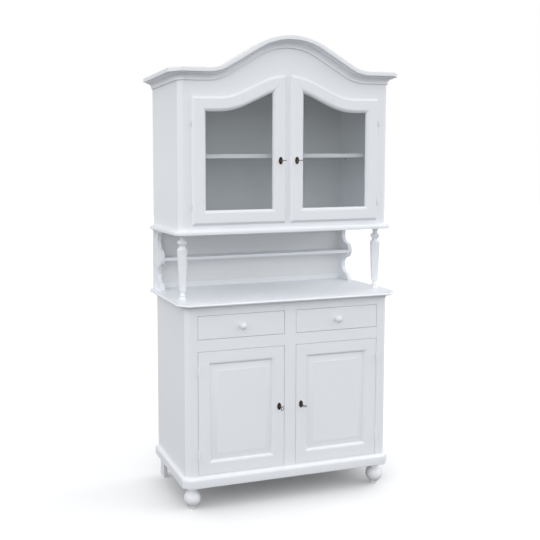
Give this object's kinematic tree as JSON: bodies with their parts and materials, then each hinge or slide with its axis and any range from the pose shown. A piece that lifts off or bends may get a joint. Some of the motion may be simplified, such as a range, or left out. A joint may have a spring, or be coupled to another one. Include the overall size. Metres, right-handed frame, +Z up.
{
  "type": "display cabinet",
  "caption": "Two-part white display cabinet with drawers and panelled doors below, an open niche with turned columns, and glazed doors under an arched cornice.",
  "frame": {"origin": "on the floor, in the middle of the cabinet's outline in plan", "axes": "+X to the right seen from the front, +Y to the back, +Z up"},
  "size_m": [1.116, 0.487, 2.098],
  "materials": {
    "white_lacquer": "satin",
    "inner_lacquer": "satin",
    "clear_glass": "polished",
    "burnished_brass": "satin",
    "key_steel": "satin"
  },
  "bodies": {
    "cabinet": {"base_sides": "white_lacquer", "base_bottom": "inner_lacquer", "base_partition": "inner_lacquer", "base_shelves": "inner_lacquer", "shelf_pins": "key_steel", "corner_posts": "white_lacquer", "mid_stiles": "white_lacquer", "base_rails": "white_lacquer", "plinth_moulding": "white_lacquer", "bun_feet": "white_lacquer", "rear_feet": "white_lacquer", "drawer_runners": "inner_lacquer", "table_top": "white_lacquer", "cove_moulding": "white_lacquer", "scroll_brackets": "white_lacquer", "back_panels": "inner_lacquer", "niche_back_strip": "white_lacquer", "niche_shelf": "white_lacquer", "turned_columns": "white_lacquer", "moulded_board": "white_lacquer", "upper_sides": "white_lacquer", "upper_roof": "inner_lacquer", "upper_posts": "white_lacquer", "upper_bottom_rail": "white_lacquer", "arched_fascia": "white_lacquer", "cornice_arch": "white_lacquer", "cornice_returns": "white_lacquer", "display_shelf": "inner_lacquer", "hinge_frame_knuckles": "white_lacquer"},
    "left_drawer": {"left_drawer_front": "white_lacquer", "left_drawer_box": "inner_lacquer", "left_knob": "white_lacquer"},
    "left_lower_door": {"left_door": "white_lacquer", "left_door_panel": "white_lacquer", "left_door_knuckles": "white_lacquer", "left_door_lock": "burnished_brass"},
    "left_upper_door": {"left_glass_door": "white_lacquer", "left_glass": "clear_glass", "left_glass_knuckles": "white_lacquer", "left_glass_lock": "burnished_brass"},
    "left_lower_key": {"left_key": "key_steel"},
    "left_lower_bolt": {"left_bolt": "key_steel"},
    "left_upper_key": {"left_glass_key": "key_steel"},
    "left_upper_bolt": {"left_glass_bolt": "key_steel"},
    "right_drawer": {"right_drawer_front": "white_lacquer", "right_drawer_box": "inner_lacquer", "right_knob": "white_lacquer"},
    "right_lower_door": {"right_door": "white_lacquer", "right_door_panel": "white_lacquer", "right_door_knuckles": "white_lacquer", "right_door_lock": "burnished_brass"},
    "right_upper_door": {"right_glass_door": "white_lacquer", "right_glass": "clear_glass", "right_glass_knuckles": "white_lacquer", "right_glass_lock": "burnished_brass"},
    "right_lower_key": {"right_key": "key_steel"},
    "right_lower_bolt": {"right_bolt": "key_steel"},
    "right_upper_key": {"right_glass_key": "key_steel"},
    "right_upper_bolt": {"right_glass_bolt": "key_steel"}
  },
  "joints": [
    {"name": "left_drawer_slide", "type": "slide", "parent": "cabinet", "child": "left_drawer", "axis": [0, -1, 0], "range_m": [0, 0.28]},
    {"name": "left_lower_door_hinge", "type": "hinge", "parent": "cabinet", "child": "left_lower_door", "pos_m": [-0.44325, -0.2065, 0.439], "axis": [0, 0, -1], "range_deg": [0, 165]},
    {"name": "left_lower_key_turn", "type": "hinge", "parent": "left_lower_door", "child": "left_lower_key", "pos_m": [-0.0545, -0.2015, 0.439], "axis": [0, 1, 0], "range_deg": [0, 90]},
    {"name": "left_lower_bolt_throw", "type": "slide", "parent": "left_lower_door", "child": "left_lower_bolt", "axis": [1, 0, 0], "range_m": [0, 0.008]},
    {"name": "left_upper_door_hinge", "type": "hinge", "parent": "cabinet", "child": "left_upper_door", "pos_m": [-0.4605, -0.168, 1.552], "axis": [0, 0, -1], "range_deg": [0, 120]},
    {"name": "left_upper_key_turn", "type": "hinge", "parent": "left_upper_door", "child": "left_upper_key", "pos_m": [-0.04, -0.1635, 1.552], "axis": [0, 1, 0], "range_deg": [0, 90]},
    {"name": "left_upper_bolt_throw", "type": "slide", "parent": "left_upper_door", "child": "left_upper_bolt", "axis": [1, 0, 0], "range_m": [0, 0.008]},
    {"name": "right_drawer_slide", "type": "slide", "parent": "cabinet", "child": "right_drawer", "axis": [0, -1, 0], "range_m": [0, 0.28]},
    {"name": "right_lower_door_hinge", "type": "hinge", "parent": "cabinet", "child": "right_lower_door", "pos_m": [0.44325, -0.2065, 0.439], "axis": [0, 0, 1], "range_deg": [0, 165]},
    {"name": "right_lower_key_turn", "type": "hinge", "parent": "right_lower_door", "child": "right_lower_key", "pos_m": [0.0545, -0.2015, 0.439], "axis": [0, -1, 0], "range_deg": [0, 90]},
    {"name": "right_lower_bolt_throw", "type": "slide", "parent": "right_lower_door", "child": "right_lower_bolt", "axis": [-1, 0, 0], "range_m": [0, 0.008]},
    {"name": "right_upper_door_hinge", "type": "hinge", "parent": "cabinet", "child": "right_upper_door", "pos_m": [0.4605, -0.168, 1.552], "axis": [0, 0, 1], "range_deg": [0, 120]},
    {"name": "right_upper_key_turn", "type": "hinge", "parent": "right_upper_door", "child": "right_upper_key", "pos_m": [0.04, -0.1635, 1.552], "axis": [0, -1, 0], "range_deg": [0, 90]},
    {"name": "right_upper_bolt_throw", "type": "slide", "parent": "right_upper_door", "child": "right_upper_bolt", "axis": [-1, 0, 0], "range_m": [0, 0.008]}
  ],
  "couplings": [
    {"joint": "left_lower_bolt_throw", "follows": "left_lower_key_turn", "m_per_rad": 0.005093},
    {"joint": "left_upper_bolt_throw", "follows": "left_upper_key_turn", "m_per_rad": 0.005093},
    {"joint": "right_lower_bolt_throw", "follows": "right_lower_key_turn", "m_per_rad": 0.005093},
    {"joint": "right_upper_bolt_throw", "follows": "right_upper_key_turn", "m_per_rad": 0.005093}
  ]
}
